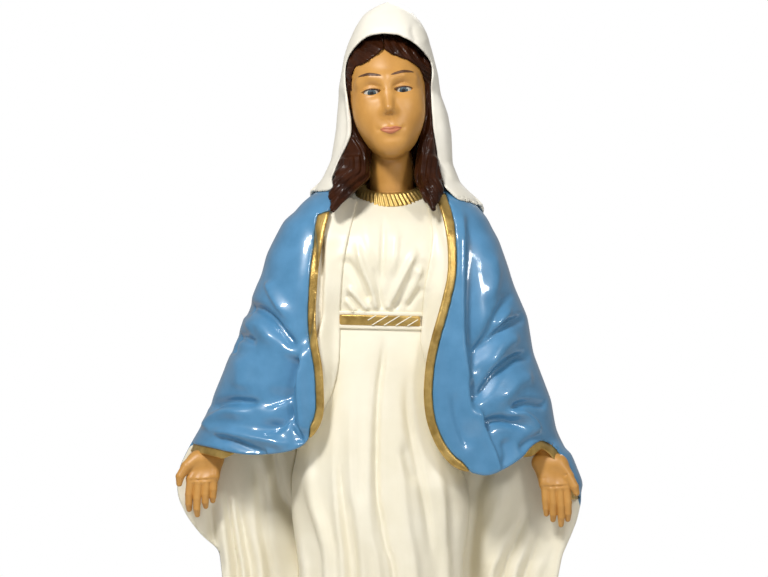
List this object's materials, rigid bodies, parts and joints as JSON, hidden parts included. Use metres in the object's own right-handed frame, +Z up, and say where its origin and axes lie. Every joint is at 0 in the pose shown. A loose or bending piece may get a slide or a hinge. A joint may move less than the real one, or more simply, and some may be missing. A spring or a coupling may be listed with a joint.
{
  "type": "madonna statue",
  "caption": "Painted standing Madonna statue with lowered open hands, a blue mantle over a white gown and veil, on a half globe with a serpent and a round plinth.",
  "frame": {"origin": "middle of the underside, on the surface that the statue stands on", "axes": "+Z up, the figure faces -Y, +X at the right of someone who looks at its front"},
  "size_m": [0.215, 0.19, 0.6],
  "materials": {
    "felt": "matte",
    "wood": "matte",
    "steel": "satin",
    "bare_resin": "matte",
    "brown_paint": "satin",
    "globe_paint": "satin",
    "serpent_paint": "gloss",
    "white_paint": "satin",
    "skin_paint": "satin",
    "hair_enamel": "gloss",
    "blue_enamel": "gloss",
    "gold_paint": "satin"
  },
  "bodies": {
    "root": {"felt_pad": "felt", "base_plate": "wood", "base_screws": "steel", "plinth": "brown_paint", "globe": "globe_paint", "serpent": "serpent_paint", "gown_skirt": "white_paint", "gown_bodice": "white_paint", "foot_left": "skin_paint", "foot_right": "skin_paint", "facing_left": "white_paint", "facing_right": "white_paint", "belt_cord": "gold_paint", "mantle_back": "blue_enamel", "mantle_left": "blue_enamel", "mantle_right": "blue_enamel", "trim_left": "gold_paint", "trim_right": "gold_paint", "lining_left": "white_paint", "lining_right": "white_paint", "wrist_pin_left": "steel", "wrist_pin_right": "steel", "arm_left": "bare_resin", "arm_right": "bare_resin", "hand_left": "skin_paint", "hand_right": "skin_paint", "cuff_lining_left": "gold_paint", "cuff_lining_right": "gold_paint", "neck_dowel": "wood", "head": "skin_paint", "collar_trim": "gold_paint", "hair_left": "hair_enamel", "hair_right": "hair_enamel", "veil": "white_paint", "centre_rod": "steel", "rod_washers": "steel", "rod_nuts": "steel", "chest_block": "wood", "shoulder_block": "wood"}
  },
  "joints": []
}
